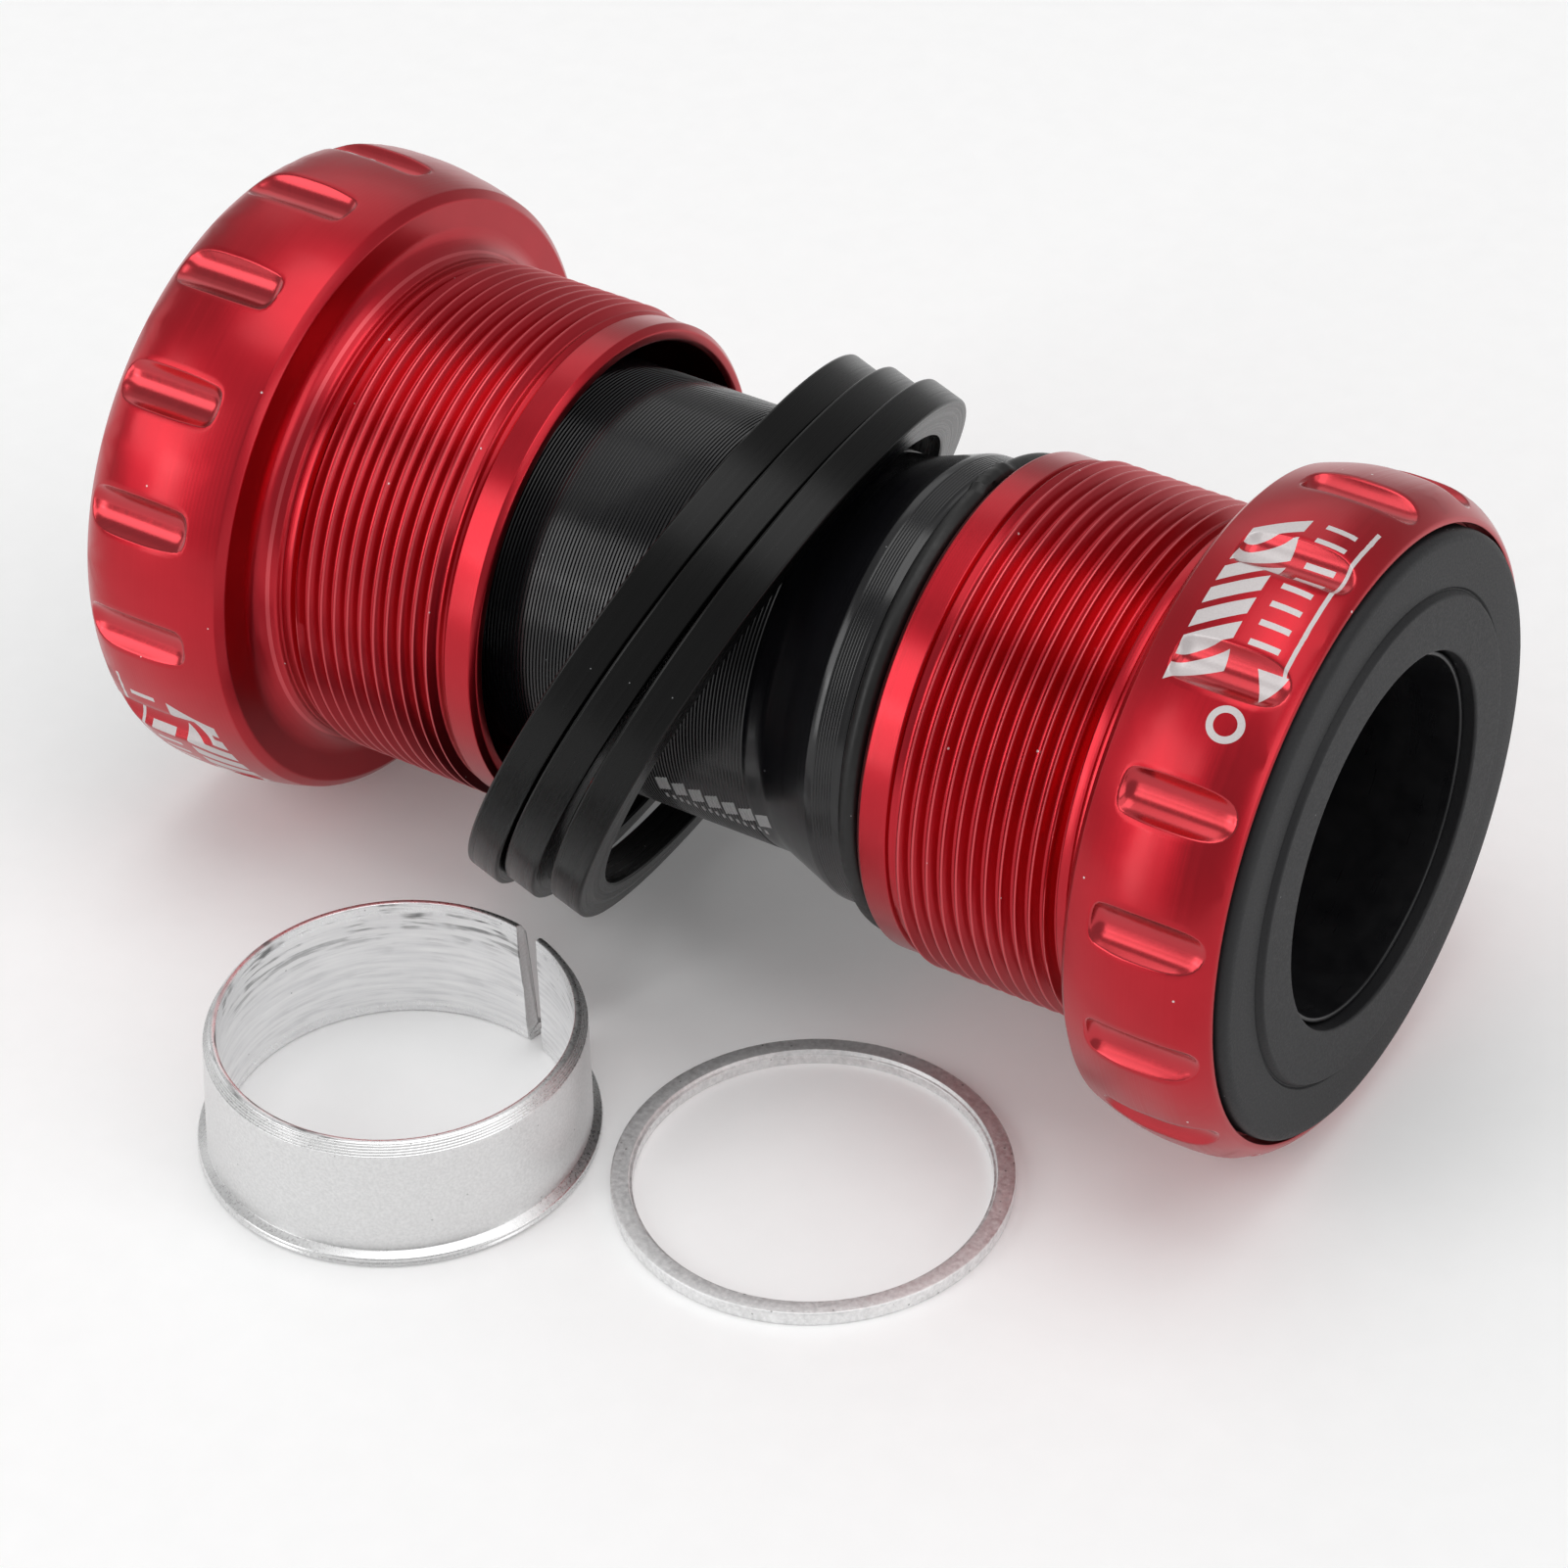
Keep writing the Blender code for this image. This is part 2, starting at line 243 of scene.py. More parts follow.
def joined(*parts):
    """Several (vertices, faces) pairs as one."""
    vertices = []
    faces = []
    for some_vertices, some_faces in parts:
        base = len(vertices)
        vertices += some_vertices
        faces += [tuple(base + i for i in face) for face in some_faces]
    return vertices, faces


def make_piece(name, shape, material, body, nodes, location=(0, 0, 0), rotation=(0, 0, 0),
               milled=None):
    """Shaded mesh object that stands for CAD nodes and rides on their body."""
    vertices, faces = shape
    mesh = bpy.data.meshes.new(name)
    mesh.from_pydata([Vector(v) * MM for v in vertices], [], faces)
    if milled:
        mesh.attributes.new("milled", "FLOAT", "POINT").data.foreach_set("value", milled)
    weld = bmesh.new()
    weld.from_mesh(mesh)
    bmesh.ops.remove_doubles(weld, verts=weld.verts, dist=MERGE_MM * MM)
    bmesh.ops.recalc_face_normals(weld, faces=weld.faces)
    weld.to_mesh(mesh)
    weld.free()
    mesh.shade_smooth()
    mesh.set_sharp_from_angle(angle=math.radians(SHARP_DEG))
    mesh.materials.append(material)
    piece = bpy.data.objects.new(name, mesh)
    piece.location = Vector(location) * MM
    piece.rotation_euler = rotation
    bpy.context.scene.collection.objects.link(piece)
    normals = piece.modifiers.new("flat_faces", "WEIGHTED_NORMAL")
    normals.keep_sharp = True
    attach(piece, body)
    if nodes:
        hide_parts(*nodes)
    return piece


# Material nodes

class Graph:
    """One material and short ways to add nodes to it."""

    def __init__(self, name):
        self.material = bpy.data.materials.new(name)
        self.material.use_nodes = True
        self.tree = self.material.node_tree
        self.shader = self.tree.nodes["Principled BSDF"]

    def feed(self, socket, value):
        if isinstance(value, bpy.types.NodeSocket):
            self.tree.links.new(value, socket)
        else:
            socket.default_value = value

    def add(self, kind, **inputs):
        node = self.tree.nodes.new(kind)
        for name, value in inputs.items():
            self.feed(node.inputs[name.replace("_", " ")], value)
        return node

    def math(self, operation, *values):
        node = self.tree.nodes.new("ShaderNodeMath")
        node.operation = operation
        for socket, value in zip(node.inputs, values):
            self.feed(socket, value)
        return node.outputs[0]

    def product(self, *values):
        result = values[0]
        for value in values[1:]:
            result = self.math("MULTIPLY", result, value)
        return result

    def total(self, *values):
        result = values[0]
        for value in values[1:]:
            result = self.math("ADD", result, value)
        return result

    def between(self, value, low, high):
        return self.product(self.math("GREATER_THAN", value, low), self.math("LESS_THAN", value, high))

    def remap(self, value, low, high, new_low, new_high):
        node = self.add("ShaderNodeMapRange", Value=value, From_Min=low, From_Max=high,
                        To_Min=new_low, To_Max=new_high)
        return node.outputs[0]

    def share(self, value, low, high):
        """How far a value is from low to high, 0 to 1."""
        return self.remap(value, low, high, 0.0, 1.0)

    def mix(self, share, first, second):
        node = self.tree.nodes.new("ShaderNodeMix")
        node.data_type = "RGBA"
        self.feed(node.inputs["Factor"], share)
        self.feed(node.inputs["A"], first)
        self.feed(node.inputs["B"], second)
        return node.outputs["Result"]

    def noise(self, vector, detail=2.0, roughness=0.55, scale=1.0):
        node = self.add("ShaderNodeTexNoise", Vector=vector, Scale=scale, Detail=detail,
                        Roughness=roughness)
        return node.outputs["Fac"]

    def set(self, **values):
        for name, value in values.items():
            self.feed(self.shader.inputs[name.replace("_", " ")], value)

    def bump(self, height, micrometres, strength=1.0, under=None):
        distance = micrometres * MM / 1000
        node = self.add("ShaderNodeBump", Height=height, Strength=strength, Distance=distance)
        if under is not None:
            self.feed(node.inputs["Normal"], under)
        return node.outputs["Normal"]


def colour(red, green, blue):
    return (red, green, blue, 1.0)


def grey(level):
    return (level, level, level, 1.0)


def scaled(tint, factor):
    return colour(*[channel * factor for channel in tint])


class TurnedGraph(Graph):
    """Material of a turned piece, with its place along the axis, radius and angle."""

    def __init__(self, name, axis="X"):
        super().__init__(name)
        self.place = self.add("ShaderNodeTexCoord").outputs["Object"]
        split = self.add("ShaderNodeSeparateXYZ", Vector=self.place).outputs
        x, y, z = (self.math("MULTIPLY", split[i], 1 / MM) for i in range(3))
        front = self.math("MULTIPLY", y, -1.0) if axis == "X" else x
        self.along, self.first, self.second = (x, front, z) if axis == "X" else (z, front, y)
        self.radius = self.length(self.first, self.second)
        self.angle = self.math("DEGREES", self.math("ARCTAN2", self.second, self.first))

    def length(self, first, second):
        squares = [self.math("POWER", value, 2.0) for value in (first, second)]
        return self.math("SQRT", self.total(*squares))

    def across(self):
        """Place along the outline, which also changes on faces square to the axis."""
        return self.math("MULTIPLY_ADD", self.radius, OUTLINE_SLANT, self.along)

    def turning(self, pitch_mm):
        """Regular fine tool marks, 0 to 1, one for each pitch along the outline."""
        wander = self.math("MULTIPLY", self.lines(0.8, 0.02), 0.5)
        turns = self.math("MULTIPLY_ADD", self.across(), 1 / pitch_mm, wander)
        wave = self.math("SINE", self.math("MULTIPLY", turns, 2 * math.pi))
        return self.math("MULTIPLY_ADD", wave, 0.5, 0.5)

    def lines(self, per_mm, waver=0.03, detail=2.0):
        """Turning marks: noise that changes quickly along the outline and slowly round it."""
        vector = self.add("ShaderNodeCombineXYZ", X=self.math("MULTIPLY", self.across(), per_mm),
                          Y=self.math("MULTIPLY", self.first, waver),
                          Z=self.math("MULTIPLY", self.second, waver)).outputs[0]
        return self.noise(vector, detail)

    def cloud(self, per_mm, detail=3.0):
        return self.noise(self.place, detail, 0.6, per_mm / MM)

    def specks(self, per_mm, size, share):
        """Mask of small dust specks: cells per millimetre, speck size in cells, share of cells."""
        cells = self.add("ShaderNodeTexVoronoi", Vector=self.place, Scale=per_mm / MM).outputs
        lot = self.add("ShaderNodeSeparateColor", Color=cells["Color"]).outputs[0]
        chosen = self.math("LESS_THAN", lot, share)
        return self.product(chosen, self.math("LESS_THAN", cells["Distance"], size))


def laser_mask(graph, side, marks):
    """Mask of plain bars, rings and an arrow head burnt into a surface: generic shapes, no letters."""
    depth = graph.math("MULTIPLY", graph.along, float(side))
    mask = None
    for kind, low_u, high_u, low_deg, high_deg, slant in marks:
        middle = (low_u + high_u) / 2
        half = (high_u - low_u) / 2
        offset = graph.math("SUBTRACT", depth, middle)
        turn = graph.math("SUBTRACT", graph.angle, graph.math("MULTIPLY", offset, slant))
        if kind == "bar":
            shape = graph.product(graph.between(depth, low_u, high_u),
                                  graph.between(turn, low_deg, high_deg))
        elif kind == "arrow":
            spread = graph.remap(graph.angle, low_deg, high_deg, 0.0, half)
            inside = graph.math("LESS_THAN", graph.math("ABSOLUTE", offset), spread)
            shape = graph.product(inside, graph.between(graph.angle, low_deg, high_deg))
        else:
            from_middle = graph.math("SUBTRACT", graph.angle, (low_deg + high_deg) / 2)
            across = graph.math("MULTIPLY", from_middle, 2 * half / (high_deg - low_deg))
            shape = graph.between(graph.length(offset, across), RING_HOLE * half, half)
        mask = shape if mask is None else graph.math("MAXIMUM", mask, shape)
    return mask


def red_anodised(name, side, marks):
    """Red metal under a thin clear layer, with turning marks, smooth notches and a painted highlight on
    the thread crests.
    """
    graph = TurnedGraph(name)
    milled = graph.tree.nodes.new("ShaderNodeAttribute")
    milled.attribute_name = "milled"
    milled = milled.outputs["Fac"]
    lines = graph.lines(4.0, 0.004)
    tool = graph.product(graph.turning(HEAD_TURNING_PITCH), graph.math("SUBTRACT", 1.0, milled))
    red = graph.mix(graph.share(graph.cloud(0.12), 0.35, 0.65), colour(0.41, 0.005, 0.014),
                    colour(0.46, 0.008, 0.019))
    red = graph.mix(graph.remap(lines, 0.3, 0.75, 0.0, 0.15), red, colour(0.56, 0.014, 0.028))
    crest_r = THREAD_ROOT_R + THREAD_DEPTH
    # Painted highlight: a band at the thread crests' radius is lightened toward pale pink, standing in
    # for the light the crests catch.
    crest_painted_highlight = graph.between(graph.radius, crest_r - 0.06, crest_r + 0.1)
    red = graph.mix(graph.product(crest_painted_highlight, 0.45), red, colour(0.85, 0.14, 0.16))
    dust = graph.specks(0.55, 0.045, 0.35)
    mask = laser_mask(graph, side, marks)
    burnt = graph.mix(graph.cloud(9.0), colour(0.50, 0.46, 0.46), colour(0.66, 0.62, 0.62))
    shade = graph.mix(mask, red, burnt)
    shade = graph.mix(graph.product(dust, 0.8), shade, colour(0.75, 0.70, 0.70))
    metal = graph.math("SUBTRACT", 1.0, graph.product(graph.math("MAXIMUM", mask, dust), 0.7))
    on_head = graph.math("GREATER_THAN", graph.radius, SHOULDER_FOOT_R)
    rough = graph.total(graph.remap(lines, 0.25, 0.75, 0.26, 0.34), graph.product(mask, 0.2),
                        graph.product(on_head, 0.05))
    rough = graph.math("SUBTRACT", rough, graph.product(milled, 0.12))
    clear = graph.math("MULTIPLY_ADD", milled, 0.5, 0.4)
    fine = graph.bump(tool, 1.6, 0.8)
    graph.set(Base_Color=shade, Metallic=metal, Roughness=rough, Coat_Weight=clear,
              Coat_Roughness=0.2, Coat_IOR=1.5, Normal=graph.bump(lines, 1.5, 0.4, fine))
    return graph.material


def black_metal(name, axis, line_density, roughness, tint, specular, marks=()):
    """Black anodised aluminium with turning marks, a little dust and any laser marks."""
    graph = TurnedGraph(name, axis)
    lines = graph.lines(line_density)
    cloud = graph.share(graph.cloud(0.2), 0.3, 0.7)
    shade = graph.mix(cloud, scaled(tint, 0.7), colour(*tint))
    rough = graph.remap(lines, 0.25, 0.75, roughness - 0.05, roughness + 0.05)
    if marks:
        mask = laser_mask(graph, 1, marks)
        shade = graph.mix(mask, shade, graph.mix(graph.cloud(9.0), grey(0.20), grey(0.42)))
        rough = graph.math("MAXIMUM", rough, graph.product(mask, 0.6))
    dust = graph.product(graph.specks(0.7, 0.035, 0.3), 0.6)
    graph.set(Base_Color=graph.mix(dust, shade, colour(0.35, 0.35, 0.36)), Metallic=0.0,
              Roughness=rough, Specular_IOR_Level=specular, Normal=graph.bump(lines, 2.0, 0.35))
    return graph.material


def adapter_aluminium(name):
    """Bare aluminium: satin and clean outside, streaked by scuffs inside near the top edge."""
    graph = TurnedGraph(name, "Z")
    inside = graph.math("LESS_THAN", graph.radius, ADAPTER_MIDWALL_R)
    turned_edge = graph.math("MAXIMUM", graph.math("GREATER_THAN", graph.along, ADAPTER_CHAMFER_Z),
                             graph.math("LESS_THAN", graph.along, ADAPTER_FLANGE_Z))
    grain = graph.cloud(5.0, 4.0)
    blotch = graph.cloud(0.35, 2.0)
    lines = graph.lines(7.0, 0.2)
    streaks = graph.lines(3.2, 0.25, 4.0)
    high = graph.remap(graph.along, 6.0, 8.6, 0.1, 1.0)
    scuffs = graph.product(graph.share(streaks, 0.50, 0.60), graph.share(blotch, 0.42, 0.56),
                           high, inside)
    outer = graph.mix(graph.share(grain, 0.3, 0.7), grey(0.66), grey(0.80))
    inner = graph.mix(graph.share(streaks, 0.3, 0.7), grey(0.92), colour(0.78, 0.78, 0.79))
    shade = graph.mix(inside, outer, inner)
    shade = graph.mix(graph.product(scuffs, 0.85), shade, grey(0.16))
    pits = graph.product(graph.specks(2.0, 0.12, 0.06), 0.6)
    shade = graph.mix(pits, shade, grey(0.20))
    rough = graph.total(graph.remap(grain, 0.3, 0.7, 0.34, 0.46), graph.product(scuffs, 0.2))
    rough = graph.math("SUBTRACT", rough, graph.product(turned_edge, 0.1))
    height = graph.total(graph.product(lines, 0.5), graph.product(grain, 0.7))
    graph.set(Base_Color=shade, Metallic=0.95, Roughness=rough, Normal=graph.bump(height, 5.0, 0.5))
    return graph.material


def washer_aluminium(name):
    """Stamped washer: dull face full of small dents, brighter where it is worn."""
    graph = TurnedGraph(name, "Z")
    grain = graph.cloud(3.0, 5.0)
    worn = graph.cloud(0.5, 2.0)
    shade = graph.mix(graph.share(grain, 0.3, 0.7), grey(0.68), grey(0.92))
    shade = graph.mix(graph.remap(worn, 0.45, 0.7, 0.0, 0.4), shade, grey(0.95))
    dents = graph.specks(1.8, 0.14, 0.25)
    shade = graph.mix(graph.product(dents, 0.55), shade, grey(0.22))
    height = graph.math("SUBTRACT", grain, dents)
    graph.set(Base_Color=shade, Metallic=0.9, Roughness=graph.remap(grain, 0.3, 0.7, 0.45, 0.62),
              Normal=graph.bump(height, 10.0, 0.6))
    return graph.material


def matte_rubber(name, tint, roughness, grain_per_mm):
    """Moulded rubber with a fine grain and pale specks."""
    graph = TurnedGraph(name)
    grain = graph.cloud(grain_per_mm, 4.0)
    base = graph.mix(graph.share(graph.cloud(0.15), 0.3, 0.7), scaled(tint, 0.8), colour(*tint))
    base = graph.mix(graph.remap(grain, 0.55, 0.85, 0.0, 0.4), base, scaled(tint, 2.2))
    dust = graph.product(graph.specks(0.8, 0.05, 0.3), 0.5)
    graph.set(Base_Color=graph.mix(dust, base, colour(0.4, 0.4, 0.41)), Metallic=0.0,
              Roughness=graph.remap(grain, 0.3, 0.7, roughness - 0.08, roughness + 0.08),
              Specular_IOR_Level=0.4, Normal=graph.bump(grain, 12.0, 0.7))
    return graph.material


def gloss_plastic(name):
    """Smooth black plastic with faint swirls from its mould."""
    graph = TurnedGraph(name)
    swirl = graph.lines(1.5, 0.2)
    cloud = graph.share(graph.cloud(0.4), 0.3, 0.7)
    tint = graph.mix(cloud, colour(0.006, 0.006, 0.007), colour(0.014, 0.014, 0.015))
    graph.set(Base_Color=tint, Metallic=0.0, Roughness=graph.remap(swirl, 0.3, 0.7, 0.26, 0.36),
              Specular_IOR_Level=0.3, Normal=graph.bump(swirl, 2.0, 0.4))
    return graph.material


def steel(name, roughness, per_mm):
    """Ground or polished steel with a film of oil."""
    graph = TurnedGraph(name)
    lines = graph.lines(per_mm)
    oil = graph.share(graph.cloud(0.5), 0.35, 0.7)
    graph.set(Base_Color=graph.mix(oil, colour(0.55, 0.55, 0.57), colour(0.72, 0.72, 0.73)),
              Metallic=1.0, Roughness=graph.remap(lines, 0.3, 0.7, roughness, roughness + 0.1),
              Normal=graph.bump(lines, 1.5, 0.4))
    return graph.material


def nylon(name):
    """Cream moulded nylon."""
    graph = TurnedGraph(name)
    grain = graph.cloud(3.0)
    graph.set(Base_Color=graph.mix(grain, colour(0.46, 0.43, 0.35), colour(0.56, 0.53, 0.45)),
              Metallic=0.0, Roughness=graph.remap(grain, 0.3, 0.7, 0.4, 0.55),
              Normal=graph.bump(grain, 8.0, 0.5))
    return graph.material


# Cup shell

def head_radius(u, extra):
    """Crowned outside of the head, falling gently to the shoulder and quickly to the rim."""
    crown_u = HEAD_CROWN_U + extra
    outward = u > crown_u
    reach = PLAIN_RIM_U + extra - crown_u if outward else SHOULDER_U - crown_u
    drop = HEAD_R - HEAD_EDGE_R[outward]
    return HEAD_R - drop * ((u - crown_u) / reach) ** HEAD_CROWN_POWER[outward]


def dome_points(low_u, high_u, extra, count):
    """Points of the head's outside at even steps."""
    points = []
    for i in range(count + 1):
        u = low_u + (high_u - low_u) * i / count
        points.append((u, head_radius(u, extra)))
    return points


def thread_shape():
    """One pitch of the thread from root to root, as (along, height) points."""
    pitch = THREAD_PITCH
    corners = [(-0.5 * pitch, 0.0), (-0.4 * pitch, 0.0), (-THREAD_CREST * pitch, THREAD_DEPTH)]
    corners += [(-along, height) for along, height in reversed(corners)]
    return rounded(corners, 0.05, 2, closed=False)[:-1]


def thread_surface(side, start_angle):
    """Helical thread between two plain rings; the other side's mirrored shape has the other hand."""
    low_u, high_u = THREAD_ZONE_U
    shape = thread_shape()
    turns = math.ceil((high_u - low_u) / THREAD_PITCH) + 2
    samples = []
    for turn in range(-2, turns + 1):
        samples += [(turn * THREAD_PITCH + along, height) for along, height in shape]
    count = len(samples)
    vertices = []
    for column in range(COLUMNS):
        share = column / COLUMNS
        shift = THREAD_PITCH * share
        for along, height in samples:
            u = min(max(low_u + along + shift, low_u), high_u)
            fade_in = min(1.0, (u - low_u) / (0.7 * THREAD_PITCH))
            fade_out = min(1.0, (high_u - u) / (0.5 * THREAD_PITCH))
            radius = THREAD_ROOT_R + height * fade_in * fade_out
            vertices.append(about_x(side * u, radius, start_angle + 2 * math.pi * share))
    faces = []
    for column in range(COLUMNS):
        wraps = column == COLUMNS - 1
        here = column * count
        there = 0 if wraps else here + count
        slip = len(shape) if wraps else 0
        for i in range(count - 1):
            near = min(max(i + slip, 0), count - 1)
            far = min(max(i + 1 + slip, 0), count - 1)
            corners = dict.fromkeys((here + i, here + i + 1, there + far, there + near))
            if len(corners) > 2:
                faces.append(tuple(corners))
    return vertices, faces


def slot_outline(half_length, half_width, cap_steps, side_steps):
    """Points (along, across) round a slot: outer cap, far side, inner cap, near side."""
    straight = half_length - half_width
    points = []
    for end in (1, -1):
        for i in range(cap_steps):
            angle = math.pi * i / cap_steps - math.pi / 2
            along = straight + half_width * math.cos(angle)
            points.append((end * along, end * half_width * math.sin(angle)))
        for i in range(side_steps):
            along = straight - 2 * straight * i / side_steps
            points.append((end * along, end * half_width))
    return points


def scooped(reach, radius):
    """Rise of a round scoop at a distance from its lowest line, straight once it is steep."""
    steep = 0.95 * radius
    near = min(max(reach, 0.0), steep)
    slope = steep / math.sqrt(radius ** 2 - steep ** 2)
    return radius - math.sqrt(radius ** 2 - near ** 2) + slope * max(0.0, reach - steep)


def notched_cell(side, extra, centre_u, cell_u, centre_angle):
    """One scooped notch and the piece of dome round it, from the cell's edge to the middle line."""
    cap_steps = COLUMNS // NOTCHES
    side_steps = NOTCH_SIDE_STEPS
    half_angle = math.pi / NOTCHES
    low_u, high_u = cell_u
    edge = []
    for u, end in ((high_u, 1), (low_u, -1)):
        for i in range(cap_steps):
            edge.append((u, end * half_angle * (2 * i / cap_steps - 1)))
        for i in range(side_steps):
            edge.append((u - end * (high_u - low_u) * i / side_steps, end * half_angle))

    def on_scoop(along, across, out):
        """Point (u, across, height) of the scoop, out from its middle line."""
        half_length, half_width = NOTCH_CORE
        straight = half_length - half_width
        core = Vector((max(-straight, min(straight, along)), 0.0))
        spot = core + (Vector((along, across)) - core).normalized() * out
        rise = scooped(abs(spot.y), NOTCH_ARC_R)
        rise += scooped(-spot.x - NOTCH_INNER_END[0], NOTCH_INNER_END[1])
        rise += scooped(spot.x - NOTCH_OUTER_END[0], NOTCH_OUTER_END[1])
        return centre_u + spot.x, spot.y, NOTCH_FLOOR_R + rise

    def dome_height(u, across):
        return math.sqrt(head_radius(u, extra) ** 2 - across ** 2)

    rim_outs = []
    core_outline = slot_outline(*NOTCH_CORE, cap_steps, side_steps)
    for along, across in core_outline:
        low, high = 0.0, NOTCH_REACH
        for _ in range(30):
            out = (low + high) / 2
            u, wide, height = on_scoop(along, across, out)
            low, high = (out, high) if height < dome_height(u, wide) else (low, out)
        rim_outs.append(low)

    on_dome = len(DOME_LOOPS)
    loops = [[] for _ in range(on_dome + 2 + len(SCOOP_LOOPS))]
    for spot, out, (edge_u, edge_angle) in zip(core_outline, rim_outs, edge):
        outer_u, outer_wide, _ = on_scoop(*spot, out + NOTCH_EDGE)
        outer_angle = math.atan2(outer_wide, dome_height(outer_u, outer_wide))
        for loop, share in zip(loops, DOME_LOOPS):
            u = edge_u + (outer_u - edge_u) * share
            angle = edge_angle + (outer_angle - edge_angle) * share
            radius = head_radius(u, extra)
            loop.append(Vector((u, radius * math.sin(angle), radius * math.cos(angle))))
        outer = loops[on_dome - 1][-1]
        rim = Vector(on_scoop(*spot, out))
        below = Vector(on_scoop(*spot, out - NOTCH_EDGE))
        loops[on_dome].append(0.5 * rim + 0.25 * (outer + below))
        loops[on_dome + 1].append(below)
        for loop, share in zip(loops[on_dome + 2:], SCOOP_LOOPS):
            loop.append(Vector(on_scoop(*spot, (out - NOTCH_EDGE) * share)))

    vertices = []
    for loop in loops:
        for u, wide, height in loop:
            angle = centre_angle + math.atan2(wide, height)
            vertices.append(about_x(side * u, math.hypot(wide, height), angle))
    count = len(core_outline)
    faces = []
    for ring in range(len(loops) - 1):
        here = ring * count
        for i in range(count):
            k = (i + 1) % count
            faces.append((here + i, here + k, here + count + k, here + count + i))
    plain = on_dome * count
    return (vertices, faces), [0.0] * plain + [1.0] * (len(vertices) - plain)


def cup_shape(prefix, side, extra):
    """Threaded shell, notched head, cover recess and bearing seat, welded into one closed surface."""
    rim_u = PLAIN_RIM_U + extra
    centre_u = NOTCH_U[prefix]
    cell_u = (centre_u - NOTCH_CELL[0], min(centre_u + NOTCH_CELL[1], rim_u - 0.3))
    turn = math.radians(NOTCH_TURN_DEG[prefix])
    start_angle = turn - math.pi / NOTCHES
    thread_low, thread_high = THREAD_ZONE_U
    recess_u = RECESS_U + extra
    inside = [(thread_low, THREAD_ROOT_R), (2.3, 17.0), (0.4, 17.0), (0.0, 16.6, 0.12), (0.0, 16.0)]
    inside += [(0.3, CUP_BORE_R), (SEAT_U, CUP_BORE_R), (SEAT_U, SEAT_R)]
    inside += [(recess_u, SEAT_R), (recess_u, RECESS_R)]
    inside += [(rim_u + RIM_LIP, RECESS_R, 0.1), (rim_u + RIM_LIP, 20.75, 0.1)]
    inside += dome_points(rim_u - 0.04, cell_u[1], extra, 2)
    outside = dome_points(cell_u[0], SHOULDER_U + 0.5, extra, 6)
    outside += [(SHOULDER_U, 20.85, 0.12), (SHOULDER_U, 18.6, 0.5), (SHOULDER_U - 0.45, 17.75, 0.4)]
    outside.append((SHOULDER_U - 1.35, PLAIN_BAND_R, 0.3))
    for along, cut in ((1.0, 0.0), (0.92, 0.08), (0.84, 0.0)):
        outside.append((thread_high + along, PLAIN_BAND_R - cut, 0.02))
    outside += [(thread_high + 0.18, PLAIN_BAND_R), (thread_high, THREAD_ROOT_R)]
    parts = []
    for outline in (inside, outside):
        points = rounded(outline, 0.07, 3, closed=False)
        mirrored = [(side * u, radius) for u, radius in points]
        parts.append(turned(mirrored, COLUMNS, closed=False, start=start_angle))
    parts.append(thread_surface(side, start_angle))
    milled = [0.0] * sum(len(vertices) for vertices, _ in parts)
    for n in range(NOTCHES):
        cell, cell_milled = notched_cell(side, extra, centre_u, cell_u, turn + 2 * math.pi * n / NOTCHES)
        parts.append(cell)
        milled += cell_milled
    return joined(*parts), milled


# Laser marks as (kind, low u, high u, low angle, high angle, slant in degrees per mm)
RIGHT_MARKS = [("bar", 19.5, 22.6, 56.5 + 4.7 * n, 59.7 + 4.7 * n, 1.6) for n in range(7)]
RIGHT_MARKS += [("bar", 23.6, 25.6, 63.5 + 3.7 * n, 64.6 + 3.7 * n, 0.0) for n in range(8)]
RIGHT_MARKS += [("arrow", 24.6, 26.7, 55.5, 61.0, 0.0), ("bar", 26.25, 26.5, 60.0, 94.0, 0.0)]
RIGHT_MARKS += [("ring", 23.3, 25.7, 47.3, 53.3, 0.0)]
LEFT_MARKS = [(kind, low_u, high_u, low_deg - 106.0, high_deg - 106.0, slant)
              for kind, low_u, high_u, low_deg, high_deg, slant in RIGHT_MARKS if kind == "bar"]
LEFT_MARKS += [("ring", 23.5, 26.3, 107.0, 114.0, 0.0)]
SLEEVE_MARKS = [("bar", -3.3 + 1.3 * n, -2.2 + 1.3 * n, -24.5, -18.5, 2.0) for n in range(7)]
SLEEVE_MARKS += [("bar", -3.0 + 0.55 * n, -2.75 + 0.55 * n, -29.5, -27.0, 0.0) for n in range(15)]


def add_cup(prefix, side, end_x):
    low, high = box_mm(prefix + "_cup")
    extra = high.x - low.x - PLAIN_RIM_U - RIM_LIP
    marks = RIGHT_MARKS if side > 0 else LEFT_MARKS
    material = red_anodised(prefix + "_red_anodised", side, marks)
    shape, milled = cup_shape(prefix, side, extra)
    make_piece(prefix + "_cup_shell_turned", shape, material, prefix + "_cup_shell",
               [prefix + "_cup"], (end_x, AXIS.y, AXIS.z), milled=milled)
    return extra


# Covers, bushings and bearings

def add_on_axis(name, corners, side, end_x, material, body, nodes, reach=0.08):
    """Ring on the spindle axis from corners measured outward from a cup's thread end."""
    points = [(side * u, radius) for u, radius in rounded(corners, reach)]
    make_piece(name, turned(points, RING_COLUMNS), material, body, nodes, (end_x, AXIS.y, AXIS.z))


